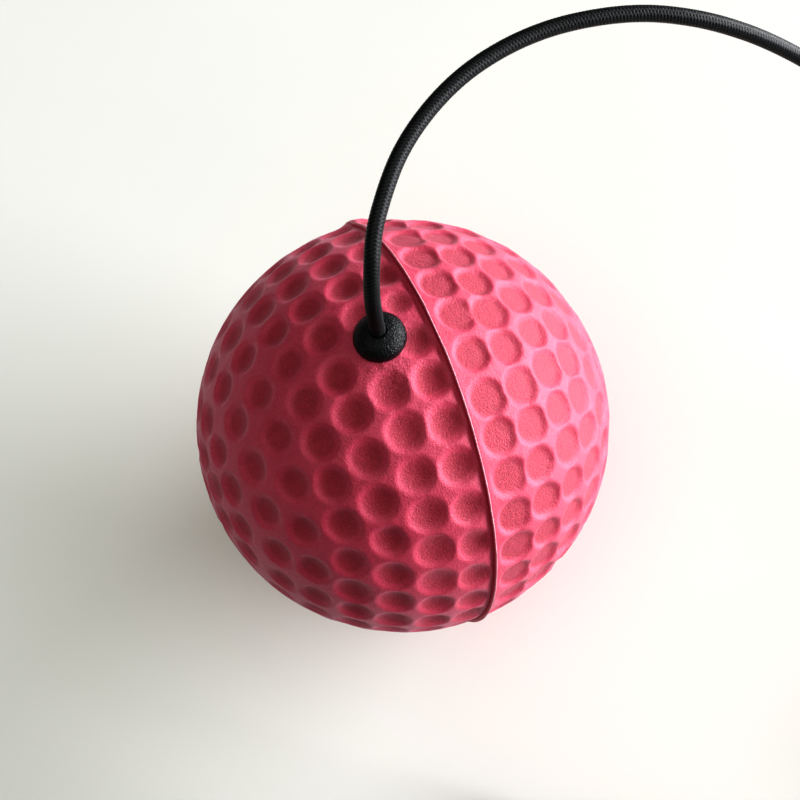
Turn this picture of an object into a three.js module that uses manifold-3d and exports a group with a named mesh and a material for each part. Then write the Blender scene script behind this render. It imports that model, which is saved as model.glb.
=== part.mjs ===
// Reflex ball headband: a foam ball on an elastic cord that runs to an adjustable webbing headband.
// Millimetres, +Z up. The origin is at the middle of the underside of the ball and the headband together.
// The ball lies in front of the headband, towards -Y, with its cord plug on top.

import * as THREE from 'three';
import { mergeVertices } from 'three/addons/utils/BufferGeometryUtils.js';
import Module from 'manifold-3d';

// ---- driving dimensions -------------------------------------------------------------------------

const GAP = 0.3; // between pieces that touch

const BALL_R = 31.5;
const SEAM_NORMAL = new THREE.Vector3(-0.902, -0.371, -0.22).normalize(); // out of the right-hand half
const SEAM_GAP = 1.1; // between the two moulded halves
const BEAD = { proud: 0.35, depth: 3, thickness: 0.5 }; // the glue line that fills the seam
const POCKET = { radius: 6, halfHeight: 7 }; // anchor pocket at the middle of the ball

const PLUG = { capR: 3.45, capH: 2.6, seat: 0.3, stemR: 2.2, stemH: 9.7, boreR: 1.4 };
const WASHER = { radius: 4.5, holeR: 1.4, height: 1, drop: 0.5 };

const CORD_R = 1;
const CORD_SIDES = 8;
const CORD_STEP = 5;
const KNOT_R = 2.2;
const PIVOT_ABOVE_PLUG = 0.7; // the ball swings about a point just over the mouth of its plug

const COIL = { x: -95, y: -55, middleR: 11.5, halfWidth: 3.3, bottom: 0.7, height: 4.3 };
const TIE = { width: 4, thickness: 0.4 };

const BAND = {
  halfLength: 78, // half of the loop's length, front to back, measured on its middle line
  halfWidth: 62,
  flatHalf: 43, // half of the flat stretch at the back, where the adjuster runs
  ballToFront: 77, // from the ball's centre to the front of the loop
};
const STRAP = { width: 40, thickness: 1.2 };
const LAYER = 1.9; // from the middle line to the middle of the outer and of the inner layer
const HARDWARE_BAR = 3; // width of the bars of the ring and of the slider
const HARDWARE_SLACK = 0.4; // between the webbing's edge and the hardware
const HEIGHT = STRAP.width + 2 * (HARDWARE_BAR + HARDWARE_SLACK); // the headband's height, 46.8
const RING = { x: -35, window: 9, thickness: 2 };
const SLIDER = { x: 30, halfLength: 11, barThickness: 2, frontThickness: 1.8 };
const TAB = 13; // sewn end of the webbing behind the ring's left bar
const STUB = 6; // webbing that has just come round the ring's right bar
const LOOP = 14; // sewn end of the webbing round the slider's middle bar

const PATCH = { halfLength: 32, thickness: 1.4, bulge: 5.8, flatHalf: 4.5, footHalf: 14 };
const EYELET = { flangeR: 3.6, flangeH: 0.9, barrelR: 1.9, boreR: 1.3 };
const EYELET_WASHER_H = 0.8;
const GRIP = { halfLength: 88, thickness: 0.8, height: 4, fromEdge: 6 };

// ---- places that follow from them ---------------------------------------------------------------

const sliderProud = LAYER + STRAP.thickness / 2 + HARDWARE_SLACK + SLIDER.frontThickness;
const wholeLength = BALL_R + BAND.ballToFront + 2 * BAND.halfLength + sliderProud;
const ball = new THREE.Vector3(0, BALL_R - wholeLength / 2, BALL_R);
const bandFront = ball.y + BAND.ballToFront;
const bandBack = bandFront + 2 * BAND.halfLength;
const bandMiddle = (bandFront + bandBack) / 2;
const strapBottom = (HEIGHT - STRAP.width) / 2;
const plugTop = ball.z + BALL_R + PLUG.capH - PLUG.seat;
const pivotZ = plugTop + PIVOT_ABOVE_PLUG;

// The cord from the plug, over the top and down to the coil. The ball's cord leaves straight up.
const ROUTE_TO_COIL = [
  [0, -103.1, 66.4],
  [-0.1, -103.1, 70],
  [-0.3, -103.5, 74],
  [-0.7, -105.3, 77.6],
  [-1.2, -108, 79.8],
  [-2.4, -111.8, 81.4],
  [-4.5, -116.7, 82.8],
  [-7.5, -121.2, 83.7],
  [-11.5, -125.5, 84.2],
  [-16.4, -129.2, 84.2],
  [-21.7, -132, 83.8],
  [-27.6, -134, 83],
  [-33.6, -135.4, 81.6],
  [-39.9, -136.1, 79.4],
  [-46.4, -136.6, 76],
  [-53, -137, 71.4],
  [-60, -137.3, 65.4],
  [-68.5, -136.6, 56.8],
  [-77.5, -134, 46],
  [-86.5, -128.8, 34.6],
  [-94.6, -120.8, 23.4],
  [-100.8, -110.3, 13.6],
  [-105, -98.2, 6.4],
  [-107.5, -85.5, 2.6],
  [-108.5, -74, 1.3],
  [-108.6, -63.7, 1.3],
];

// The cord from the coil, along the table and up to the eyelet.
const ROUTE_TO_BAND = [
  [-86.2, -41.4, 3.1],
  [-78, -41.6, 1.7],
  [-69, -42.2, 1.2],
  [-58, -43.2, 1.15],
  [-46, -44.4, 1.15],
  [-34, -45.4, 1.15],
  [-25, -46, 1.3],
  [-17, -46.4, 2.9],
  [-10.7, -46.7, 6.6],
  [-6.2, -46.8, 11.6],
  [-3.2, -46.4, 16.6],
  [-1.3, -45, 20.8],
  [-0.3, -42.4, 23],
  [0, -39.2, 23.4],
  [0, -36, 23.4],
  [0, -33.6, 23.4],
];

// ---- helpers ------------------------------------------------------------------------------------

const wasm = await Module();
wasm.setup();

const group = new THREE.Group();

function add(name, geometry, colour, roughness, metalness = 0) {
  const material = new THREE.MeshStandardMaterial({ color: colour, roughness, metalness });
  const mesh = new THREE.Mesh(geometry, material);
  mesh.name = name;
  group.add(mesh);
  return mesh;
}

function toSolid(geometry) {
  const bare = geometry.index ? geometry.toNonIndexed() : geometry.clone();
  bare.deleteAttribute('normal');
  bare.deleteAttribute('uv');
  const merged = mergeVertices(bare, 1e-4);
  const mesh = new wasm.Mesh({
    numProp: 3,
    vertProperties: new Float32Array(merged.attributes.position.array),
    triVerts: new Uint32Array(merged.index.array),
  });
  return new wasm.Manifold(mesh);
}

function fromSolid(solid) {
  const mesh = solid.getMesh();
  const geometry = new THREE.BufferGeometry();
  geometry.setAttribute('position', new THREE.BufferAttribute(mesh.vertProperties, 3));
  geometry.setIndex(new THREE.BufferAttribute(mesh.triVerts, 1));
  geometry.computeVertexNormals();
  return geometry;
}

const union = (...geometries) => fromSolid(geometries.map(toSolid).reduce((a, b) => a.add(b)));
const cut = (geometry, ...tools) =>
  fromSolid(tools.map(toSolid).reduce((a, b) => a.subtract(b), toSolid(geometry)));

// A turned solid about a vertical line. The outline is a closed list of [radius, height].
function turned(outline, segments, at = [0, 0, 0]) {
  const points = outline.map(([r, z]) => new THREE.Vector2(r, z));
  return new THREE.LatheGeometry(points, segments).rotateX(Math.PI / 2).translate(...at);
}

function closed(outline) {
  return [...outline, outline[0]];
}

// A ring of rectangular section.
function hoop(inner, outer, bottom, top, segments, at) {
  const section = closed([[inner, bottom], [outer, bottom], [outer, top], [inner, top]]);
  return turned(section, segments, at);
}

function rod(radius, bottom, top, segments, at) {
  return turned([[0, bottom], [radius, bottom], [radius, top], [0, top]], segments, at);
}

function box(x0, x1, y0, y1, z0, z1) {
  const geometry = new THREE.BoxGeometry(x1 - x0, y1 - y0, z1 - z0);
  return geometry.translate((x0 + x1) / 2, (y0 + y1) / 2, (z0 + z1) / 2);
}

// A strip that follows a line seen from above, standing on its edge.
function ribbon(line, thickness, bottom, height) {
  const sides = [[], []];
  line.forEach((point, i) => {
    const before = line[Math.max(i - 1, 0)];
    const after = line[Math.min(i + 1, line.length - 1)];
    const along = after.clone().sub(before).normalize();
    const across = new THREE.Vector2(along.y, -along.x).multiplyScalar(thickness / 2);
    sides[0].push(point.clone().add(across));
    sides[1].unshift(point.clone().sub(across));
  });
  const shape = new THREE.Shape([...sides[0], ...sides[1]]);
  const geometry = new THREE.ExtrudeGeometry(shape, { depth: height, bevelEnabled: false });
  return geometry.translate(0, 0, bottom);
}

// Half a turn round a bar, from one layer to the other. The line ends where it meets the layers.
function bend(x, y, radius, towards, turn) {
  const steps = 10;
  const points = [];
  for (let i = 0; i <= steps; i += 1) {
    const angle = turn * (Math.PI / 2 - (Math.PI * i) / steps);
    points.push(new THREE.Vector2(x + towards * radius * Math.cos(angle), y + radius * Math.sin(angle)));
  }
  return points;
}

function tube(route) {
  const curve = new THREE.CatmullRomCurve3(route.map((p) => new THREE.Vector3(...p)));
  const section = new THREE.Shape();
  section.absarc(0, 0, CORD_R, 0, 2 * Math.PI);
  const sectionPoints = section.getSpacedPoints(CORD_SIDES).slice(0, CORD_SIDES);
  return new THREE.ExtrudeGeometry(new THREE.Shape(sectionPoints), {
    extrudePath: curve,
    steps: Math.round(curve.getLength() / CORD_STEP),
    bevelEnabled: false,
  });
}

// ---- the headband's middle line, seen from above ------------------------------------------------

function loopLine() {
  const { halfLength, halfWidth, flatHalf } = BAND;
  const sideY = bandMiddle + 4; // where the loop is widest
  const path = new THREE.Path();
  path.moveTo(RING.x, bandBack);
  path.lineTo(-flatHalf, bandBack);
  path.bezierCurveTo(-flatHalf - 15, bandBack, -halfWidth, bandBack - 34, -halfWidth, sideY);
  path.bezierCurveTo(-halfWidth, sideY - 46, -36, bandMiddle - halfLength, 0, bandMiddle - halfLength);
  path.bezierCurveTo(36, bandMiddle - halfLength, halfWidth, sideY - 46, halfWidth, sideY);
  path.bezierCurveTo(halfWidth, bandBack - 34, flatHalf + 15, bandBack, flatHalf, bandBack);
  path.lineTo(RING.x, bandBack);
  return path;
}

const loop = loopLine();
const loopLength = loop.getLength();
const frontAt = loopLength / 2 + RING.x; // distance along the line from the ring to the front

function onLoop(distance, offset) {
  const u = THREE.MathUtils.clamp(distance / loopLength, 0, 1);
  const point = loop.getPointAt(u);
  const along = loop.getTangentAt(u);
  return point.add(new THREE.Vector2(along.y, -along.x).multiplyScalar(offset));
}

function layer(from, to, offset, step) {
  const count = Math.max(1, Math.round(Math.abs(to - from) / step));
  const points = [];
  for (let i = 0; i <= count; i += 1) {
    points.push(onLoop(from + ((to - from) * i) / count, offset));
  }
  return points;
}

// ---- the ball -----------------------------------------------------------------------------------

const FOAM = 0xd8385f;
const RUBBER_BLACK = 0x15171b;

function ballHalf(side) {
  const flat = SEAM_GAP / 2;
  const arcSteps = 16;
  const rimAngle = Math.asin(flat / BALL_R);
  const outline = [[0, flat]];
  for (let i = 0; i <= arcSteps; i += 1) {
    const angle = rimAngle + ((Math.PI / 2 - rimAngle) * i) / arcSteps;
    outline.push([i === arcSteps ? 0 : BALL_R * Math.cos(angle), BALL_R * Math.sin(angle)]);
  }
  return aboutSeam(turned(outline, 48), side);
}

// Turns a solid made about +Z so that it stands about the seam's normal, and moves it to the ball.
function aboutSeam(geometry, side) {
  const normal = SEAM_NORMAL.clone().multiplyScalar(side);
  const turn = new THREE.Quaternion().setFromUnitVectors(new THREE.Vector3(0, 0, 1), normal);
  return geometry.applyQuaternion(turn).translate(ball.x, ball.y, ball.z);
}

function plugRoom() {
  const at = ball.toArray();
  const seatFloor = BALL_R - 2 * GAP;
  const stemFloor = BALL_R - PLUG.seat - PLUG.stemH - GAP;
  return [
    rod(PLUG.capR + 1.5 * GAP, seatFloor, BALL_R + 1, 32, at),
    rod(PLUG.stemR + GAP, stemFloor, BALL_R, 32, at),
    rod(PLUG.boreR + GAP, POCKET.halfHeight - 1, BALL_R, 24, at),
    rod(POCKET.radius, -POCKET.halfHeight, POCKET.halfHeight, 32, at),
  ];
}

function addBall() {
  add('ball_half_right', cut(ballHalf(1), ...plugRoom()), FOAM, 0.9);
  add('ball_half_left', cut(ballHalf(-1), ...plugRoom()), FOAM, 0.9);
  const bead = hoop(BALL_R - BEAD.depth, BALL_R + BEAD.proud, -BEAD.thickness / 2, BEAD.thickness / 2, 64);
  add('seam_bead', aboutSeam(bead, 1), 0xc42a50, 0.8);
}

// A domed cap over the mouth of the hole, on a stem that fills it, bored for the cord.
function addPlug() {
  const underside = BALL_R - PLUG.seat;
  const outline = [
    [PLUG.boreR, underside - PLUG.stemH],
    [PLUG.stemR, underside - PLUG.stemH],
    [PLUG.stemR, underside],
    [PLUG.capR - 0.2, underside],
    [PLUG.capR, underside + 0.3],
  ];
  const rim = underside + 0.6;
  const rise = PLUG.capH - 0.6;
  const steps = 8;
  const mouthAngle = Math.acos(PLUG.boreR / PLUG.capR);
  for (let i = 0; i <= steps; i += 1) {
    const angle = (mouthAngle * i) / steps;
    const height = (rise * Math.sin(angle)) / Math.sin(mouthAngle);
    outline.push([i === steps ? PLUG.boreR : PLUG.capR * Math.cos(angle), rim + height]);
  }
  add('ball_plug', turned(closed(outline), 32, ball.toArray()), RUBBER_BLACK, 0.45);
}

function addBallAnchor() {
  const at = ball.toArray();
  const washerTop = POCKET.halfHeight - WASHER.drop;
  const washerBottom = washerTop - WASHER.height;
  add('plug_washer', hoop(WASHER.holeR, WASHER.radius, washerBottom, washerTop, 28, at), 0x9aa0a6, 0.4, 1);
  const knotMiddle = washerBottom - 2 * GAP - KNOT_R;
  add('ball_knot', knot(knotMiddle, at), RUBBER_BLACK, 0.9);
  const cordBottom = knotMiddle + KNOT_R + GAP;
  const cordTop = pivotZ - ball.z - GAP / 2;
  add('cord_in_ball', rod(CORD_R, cordBottom, cordTop, CORD_SIDES, at), RUBBER_BLACK, 0.85);
}

// A pulled-down overhand knot with the cut end of the cord below it.
function knot(middle, at, segments = 20) {
  const tail = 2.2;
  const outline = [[0, middle - KNOT_R - tail], [CORD_R, middle - KNOT_R - tail]];
  const steps = 8;
  const start = -Math.acos(CORD_R / KNOT_R);
  for (let i = 0; i <= steps; i += 1) {
    const angle = start + ((Math.PI / 2 - start) * i) / steps;
    outline.push([i === steps ? 0 : KNOT_R * Math.cos(angle), middle + KNOT_R * Math.sin(angle)]);
  }
  return turned(outline, segments, at);
}

// ---- the cord -----------------------------------------------------------------------------------

function addCord() {
  add('cord_to_coil', tube(ROUTE_TO_COIL), RUBBER_BLACK, 0.85);
  const { x, y, middleR, halfWidth, bottom, height } = COIL;
  const coil = hoop(middleR - halfWidth, middleR + halfWidth, bottom, bottom + height, 36, [x, y, 0]);
  add('cord_coil', coil, RUBBER_BLACK, 0.85);
  add('cord_to_band', tube(ROUTE_TO_BAND), RUBBER_BLACK, 0.85);
}

// A strap that goes once round the turns of the coil, on the side away from the headband.
function addTie() {
  const { x, y, middleR, halfWidth, bottom, height } = COIL;
  const [inside, outside] = [GAP, GAP + TIE.thickness];
  const near = y - middleR + halfWidth;
  const far = y - middleR - halfWidth;
  const [x0, x1] = [x - TIE.width / 2, x + TIE.width / 2];
  const [z0, z1] = [bottom, bottom + height];
  const block = box(x0, x1, far - outside, near + outside, z0 - outside, z1 + outside);
  const room = box(x0 - 1, x1 + 1, far - inside, near + inside, z0 - inside, z1 + inside);
  add('coil_tie', cut(block, room), 0x2a2c30, 0.9);
}

// ---- the headband -------------------------------------------------------------------------------

const WEBBING = 0x1b1c20;
const HARDWARE = 0x101114;

function addWebbing() {
  const bar = RING.window / 2;
  const main = [
    ...layer(bar + TAB, bar, -LAYER, 3),
    ...bend(RING.x - bar, bandBack, LAYER, 1, -1).slice(1, -1),
    ...layer(bar, loopLength - bar, LAYER, 4),
    ...bend(RING.x + bar, bandBack, LAYER, -1, 1).slice(1, -1),
    ...layer(loopLength - bar, loopLength - bar - STUB, -LAYER, 3),
  ];
  add('webbing_main', ribbon(main, STRAP.thickness, strapBottom, STRAP.width), WEBBING, 0.95);

  const tailFrom = RING.x + bar + STUB + GAP;
  const loopFrom = SLIDER.x - LOOP;
  const tail = [new THREE.Vector2(tailFrom, bandBack - LAYER), new THREE.Vector2(loopFrom - GAP, bandBack - LAYER)];
  add('webbing_tail', ribbon(tail, STRAP.thickness, strapBottom, STRAP.width), WEBBING, 0.95);

  // The end goes round the slider's middle bar and comes back to be sewn to itself.
  const barY = sliderBarY();
  const sewnY = bandBack - LAYER - STRAP.thickness - GAP;
  const end = [
    new THREE.Vector2(loopFrom, bandBack - LAYER),
    new THREE.Vector2(SLIDER.x, bandBack - LAYER),
    ...bend(SLIDER.x + HARDWARE_BAR / 2, barY, LAYER, 1, 1),
    new THREE.Vector2(SLIDER.x - 1, barY - LAYER),
    new THREE.Vector2(SLIDER.x - 4, barY - LAYER + 0.5),
    new THREE.Vector2(SLIDER.x - 8, sewnY - 0.3),
    new THREE.Vector2(SLIDER.x - 10, sewnY),
    new THREE.Vector2(loopFrom, sewnY),
  ];
  add('tail_loop', ribbon(end, STRAP.thickness, strapBottom, STRAP.width), WEBBING, 0.95);
}

// The slider's middle bar lies inside the inner layer, with the webbing's end wrapped round it.
function sliderBarY() {
  return bandBack - 2 * LAYER;
}

function addRing() {
  const half = RING.window / 2;
  const outer = half + HARDWARE_BAR;
  const y = RING.thickness / 2;
  const frame = box(-outer, outer, -y, y, 0, HEIGHT);
  const window = box(-half, half, -y - 1, y + 1, HARDWARE_BAR, HEIGHT - HARDWARE_BAR);
  add('strap_ring', cut(frame, window).translate(RING.x, bandBack, 0), HARDWARE, 0.35);
}

function addSlider() {
  const half = SLIDER.halfLength;
  const outside = bandBack + sliderProud;
  const inside = sliderBarY() - SLIDER.barThickness / 2;
  const bridge = (bottom) => box(-half, half, inside, outside, bottom, bottom + HARDWARE_BAR);
  const frontBar = (x) => box(x, x + HARDWARE_BAR, outside - SLIDER.frontThickness, outside, 0, HEIGHT);
  const middle = HARDWARE_BAR / 2;
  const frame = union(
    bridge(0),
    bridge(HEIGHT - HARDWARE_BAR),
    frontBar(-half),
    frontBar(-middle),
    frontBar(half - HARDWARE_BAR),
    box(-middle, middle, inside, inside + SLIDER.barThickness, 0, HEIGHT),
  );
  add('slider', frame.translate(SLIDER.x, 0, 0), HARDWARE, 0.35);
}

// ---- the patch on the front, with the pocket that holds the cord's knot ---------------------------

const webbingFace = LAYER + STRAP.thickness / 2; // the webbing's outer face, from the middle line
const patchInside = webbingFace + GAP + PATCH.bulge; // the inside of the pocket's flat front
const patchOutside = patchInside + PATCH.thickness;

function bulgeAt(distance) {
  const t = (Math.abs(distance) - PATCH.flatHalf) / (PATCH.footHalf - PATCH.flatHalf);
  return PATCH.bulge * (1 - THREE.MathUtils.smoothstep(t, 0, 1));
}

function addPatch() {
  const line = [];
  const steps = 64;
  for (let i = 0; i <= steps; i += 1) {
    const d = PATCH.halfLength * ((2 * i) / steps - 1);
    line.push(onLoop(frontAt + d, webbingFace + GAP + PATCH.thickness / 2 + bulgeAt(d)));
  }
  const hole = rod(EYELET.barrelR + GAP, -3, 3, 24).rotateX(Math.PI / 2);
  hole.translate(0, bandFront - patchInside - PATCH.thickness / 2, HEIGHT / 2);
  add('front_patch', cut(ribbon(line, PATCH.thickness, 0, HEIGHT), hole), 0x1f1f23, 0.7);
}

// The eyelet's axis runs along -Y, so its pieces are made about +Z and laid down at the patch.
function atEyelet(geometry) {
  return geometry.rotateX(Math.PI / 2).translate(0, bandFront - patchOutside, HEIGHT / 2);
}

function addEyelet() {
  const { flangeR, flangeH, barrelR, boreR } = EYELET;
  const washerOutside = -PATCH.thickness - GAP;
  const washerInside = washerOutside - EYELET_WASHER_H;
  const outline = closed([
    [boreR, washerInside],
    [barrelR, washerInside],
    [barrelR, GAP],
    [flangeR, GAP],
    [flangeR - 0.3, GAP + flangeH * 0.7],
    [boreR + 0.7, GAP + flangeH],
    [boreR, GAP + flangeH * 0.6],
  ]);
  add('eyelet', atEyelet(turned(outline, 28)), 0xb8b4ac, 0.3, 1);
  const washer = hoop(barrelR + GAP, flangeR, washerInside, washerOutside, 28);
  add('eyelet_washer', atEyelet(washer), 0xb8b4ac, 0.35, 1);
}

function addBandKnot() {
  const middle = bandFront - webbingFace - GAP - KNOT_R;
  const geometry = new THREE.SphereGeometry(KNOT_R, 20, 12);
  add('band_knot', geometry.translate(0, middle, HEIGHT / 2), RUBBER_BLACK, 0.9);
}

function addGripStrips() {
  const inside = LAYER - STRAP.thickness / 2 - GAP - GRIP.thickness / 2;
  const line = layer(frontAt - GRIP.halfLength, frontAt + GRIP.halfLength, inside, 5);
  const lower = strapBottom + GRIP.fromEdge;
  const upper = HEIGHT - lower - GRIP.height;
  add('grip_strip_lower', ribbon(line, GRIP.thickness, lower, GRIP.height), 0x8f9299, 0.5);
  add('grip_strip_upper', ribbon(line, GRIP.thickness, upper, GRIP.height), 0x8f9299, 0.5);
}

addBall();
addPlug();
addBallAnchor();
addCord();
addTie();
addWebbing();
addRing();
addSlider();
addPatch();
addEyelet();
addBandKnot();
addGripStrips();

export default group;
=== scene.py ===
"""Looks for the reflex ball headband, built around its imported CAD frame. All sizes are in metres."""

import math

import bmesh
import bpy
import numpy as np
from mathutils import Matrix, Vector, noise


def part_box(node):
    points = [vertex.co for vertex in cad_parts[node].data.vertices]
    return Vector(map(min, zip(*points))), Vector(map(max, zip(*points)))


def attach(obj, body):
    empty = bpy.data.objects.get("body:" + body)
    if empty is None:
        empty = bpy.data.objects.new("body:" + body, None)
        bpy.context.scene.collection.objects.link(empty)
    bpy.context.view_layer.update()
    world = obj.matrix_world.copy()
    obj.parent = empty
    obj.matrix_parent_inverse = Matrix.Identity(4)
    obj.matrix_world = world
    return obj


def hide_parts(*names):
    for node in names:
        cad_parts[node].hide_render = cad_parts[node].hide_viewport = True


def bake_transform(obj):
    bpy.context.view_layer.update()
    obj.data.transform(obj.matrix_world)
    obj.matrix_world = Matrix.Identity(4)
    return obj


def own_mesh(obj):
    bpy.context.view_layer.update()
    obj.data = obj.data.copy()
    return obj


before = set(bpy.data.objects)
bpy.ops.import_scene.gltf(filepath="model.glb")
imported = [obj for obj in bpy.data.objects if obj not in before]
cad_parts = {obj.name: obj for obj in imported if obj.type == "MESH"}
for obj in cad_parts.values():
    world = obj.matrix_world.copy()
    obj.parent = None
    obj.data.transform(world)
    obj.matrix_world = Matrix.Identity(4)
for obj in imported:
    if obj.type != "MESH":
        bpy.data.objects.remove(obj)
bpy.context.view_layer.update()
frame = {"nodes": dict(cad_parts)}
nodes = frame["nodes"]

MM = 0.001

# ---- driving sizes, as in the frame --------------------------------------------------------------

BALL_R = 31.5 * MM
SEAM_NORMAL_ROUGHLY = (-0.902, -0.371, -0.22)  # out of the right-hand half
CORD_R = 1 * MM
COIL_MIDDLE_R = 11.5 * MM
COIL_TURNS = 4.25
STRAP_THICKNESS = 1.2 * MM
LAYER = 1.9 * MM  # from the headband's middle line to each layer of webbing
GAP = 0.3 * MM
UP = np.array([0.0, 0.0, 1.0])


def box_of(node):
    """The node's lowest and highest corners, as arrays."""
    low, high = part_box(node)
    return np.array(low), np.array(high)


def middle(node):
    low, high = box_of(node)
    return (low + high) / 2


def unit(vector):
    return vector / np.linalg.norm(vector)


def units(vectors):
    """Each row made one long."""
    return vectors / np.linalg.norm(vectors, axis=1)[:, None]


def distance_along(points):
    """How far along the line each of its points is."""
    return np.concatenate([[0], np.cumsum(np.linalg.norm(np.diff(points, axis=0), axis=1))])


plug_box = box_of("ball_plug")
mouth = np.array([*middle("ball_plug")[:2], plug_box[1][2]])
ball = np.array([mouth[0], mouth[1], BALL_R])
SEAM_NORMAL = unit(np.array(SEAM_NORMAL_ROUGHLY))

# The cord's route where it isn't coiled, as in the frame: up from the plug, over and down to the coil...
ROUTE_TO_COIL = [
    (0, -0.1031, 0.0664),
    (-0.0001, -0.1031, 0.07),
    (-0.0003, -0.1035, 0.074),
    (-0.0007, -0.1053, 0.0776),
    (-0.0012, -0.108, 0.0798),
    (-0.0024, -0.1118, 0.0814),
    (-0.0045, -0.1167, 0.0828),
    (-0.0075, -0.1212, 0.0837),
    (-0.0115, -0.1255, 0.0842),
    (-0.0164, -0.1292, 0.0842),
    (-0.0217, -0.132, 0.0838),
    (-0.0276, -0.134, 0.083),
    (-0.0336, -0.1354, 0.0816),
    (-0.0399, -0.1361, 0.0794),
    (-0.0464, -0.1366, 0.076),
    (-0.053, -0.137, 0.0714),
    (-0.06, -0.1373, 0.0654),
    (-0.0685, -0.1366, 0.0568),
    (-0.0775, -0.134, 0.046),
    (-0.0865, -0.1288, 0.0346),
    (-0.0946, -0.1208, 0.0234),
    (-0.1008, -0.1103, 0.0136),
    (-0.105, -0.0982, 0.0064),
    (-0.1075, -0.0855, 0.0026),
    (-0.1085, -0.074, 0.0013),
    (-0.1086, -0.0637, 0.0013),
]

# ... and from the coil along the table and up to the eyelet.
ROUTE_TO_BAND = [
    (-0.0862, -0.0414, 0.0031),
    (-0.078, -0.0416, 0.0017),
    (-0.069, -0.0422, 0.0012),
    (-0.058, -0.0432, 0.00115),
    (-0.046, -0.0444, 0.00115),
    (-0.034, -0.0454, 0.00115),
    (-0.025, -0.046, 0.0013),
    (-0.017, -0.0464, 0.0029),
    (-0.0107, -0.0467, 0.0066),
    (-0.0062, -0.0468, 0.0116),
    (-0.0032, -0.0464, 0.0166),
    (-0.0013, -0.045, 0.0208),
    (-0.0003, -0.0424, 0.023),
    (0, -0.0392, 0.0234),
    (0, -0.036, 0.0234),
    (0, -0.0336, 0.0234),
]


# ---- camera --------------------------------------------------------------------------------------

VIEW_AZIMUTH = math.radians(193.8)
VIEW_ELEVATION = math.radians(68.8)
VIEW_ROLL = math.radians(14.8)
VIEW_DISTANCE = 0.1575
VIEW_AIM_UP = 0.00385  # the picture's middle is this far above the ball's middle, in the picture
VIEW_AIM_RIGHT = -0.00045
LENS = 45.54


def camera_axes():
    """Right, up and back of the camera, for its azimuth, elevation and roll."""
    level = math.cos(VIEW_ELEVATION)
    back = np.array([
        math.sin(VIEW_AZIMUTH) * level,
        -math.cos(VIEW_AZIMUTH) * level,
        math.sin(VIEW_ELEVATION),
    ])
    flat_right = unit(np.cross(UP, back))
    flat_up = np.cross(back, flat_right)
    right = math.cos(VIEW_ROLL) * flat_right - math.sin(VIEW_ROLL) * flat_up
    return right, np.cross(back, right), back


def add_camera():
    right, up, back = camera_axes()
    place = ball + back * VIEW_DISTANCE
    aim = ball + up * VIEW_AIM_UP + right * VIEW_AIM_RIGHT
    back = unit(place - aim)
    right = unit(np.cross(up, back))
    up = np.cross(back, right)
    data = bpy.data.cameras.new("camera")
    data.lens = LENS
    data.clip_start = 0.01
    camera = bpy.data.objects.new("camera", data)
    camera.matrix_world = Matrix([
        (right[0], up[0], back[0], place[0]),
        (right[1], up[1], back[1], place[1]),
        (right[2], up[2], back[2], place[2]),
        (0, 0, 0, 1),
    ])
    bpy.context.scene.collection.objects.link(camera)
    bpy.context.scene.camera = camera


add_camera()


# ---- mesh helpers --------------------------------------------------------------------------------


def new_mesh(name, points, faces, uvs=None, smooth=True):
    """A mesh object. uvs has one pair for each corner of each face, in order."""
    data = bpy.data.meshes.new(name)
    data.from_pydata([tuple(p) for p in points], [], faces)
    if smooth:
        data.shade_smooth()
    if uvs is not None:
        layer = data.uv_layers.new(name="along")
        layer.data.foreach_set("uv", np.asarray(uvs, np.float32).ravel())
    piece = bpy.data.objects.new(name, data)
    bpy.context.scene.collection.objects.link(piece)
    return piece


def grid_mesh(name, grid, loop_rows=False, uv=None):
    """A closed surface from rows of points. Each row is a ring, and rows follow one another.
    loop_rows joins the last row to the first, or else the ends are closed. uv is how far along each
    row is and how far round each column is, each with one value more than there are if it joins up."""
    rows, columns = grid.shape[:2]
    i, j = np.meshgrid(np.arange(rows if loop_rows else rows - 1), np.arange(columns), indexing="ij")
    below, beside = (i + 1) % rows, (j + 1) % columns
    corners = [(i, j), (i, beside), (below, beside), (below, j)]
    quads = np.stack([a * columns + b for a, b in corners], axis=-1).reshape(-1, 4)
    faces = quads.tolist()
    uvs = None
    if uv is not None:
        along, across = np.asarray(uv[0]), np.asarray(uv[1])
        corners = [(i, j), (i, j + 1), (i + 1, j + 1), (i + 1, j)]
        uvs = np.stack([np.stack([along[a], across[b]], axis=-1) for a, b in corners], axis=2).reshape(-1, 2)
    if not loop_rows:
        faces.append(list(range(columns - 1, -1, -1)))
        faces.append(list(range((rows - 1) * columns, rows * columns)))
        if uvs is not None:
            uvs = np.concatenate([uvs, np.zeros((2 * columns, 2))])
    return new_mesh(name, grid.reshape(-1, 3), faces, uvs)


def smooth_step(value):
    value = np.clip(value, 0, 1)
    return value * value * (3 - 2 * value)


def set_attribute(piece, name, values):
    attribute = piece.data.attributes.new(name, "FLOAT", "POINT")
    attribute.data.foreach_set("value", np.asarray(values, np.float32).ravel())


def bumps(points, size, seed):
    """Smooth noise from -1 to 1 at each point, with features about this size."""
    offset = Vector((seed * 17.3, seed * 5.1, seed * 9.7))
    return np.array([noise.noise(Vector(p) / size + offset) for p in points])


# ---- lines ---------------------------------------------------------------------------------------


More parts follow.
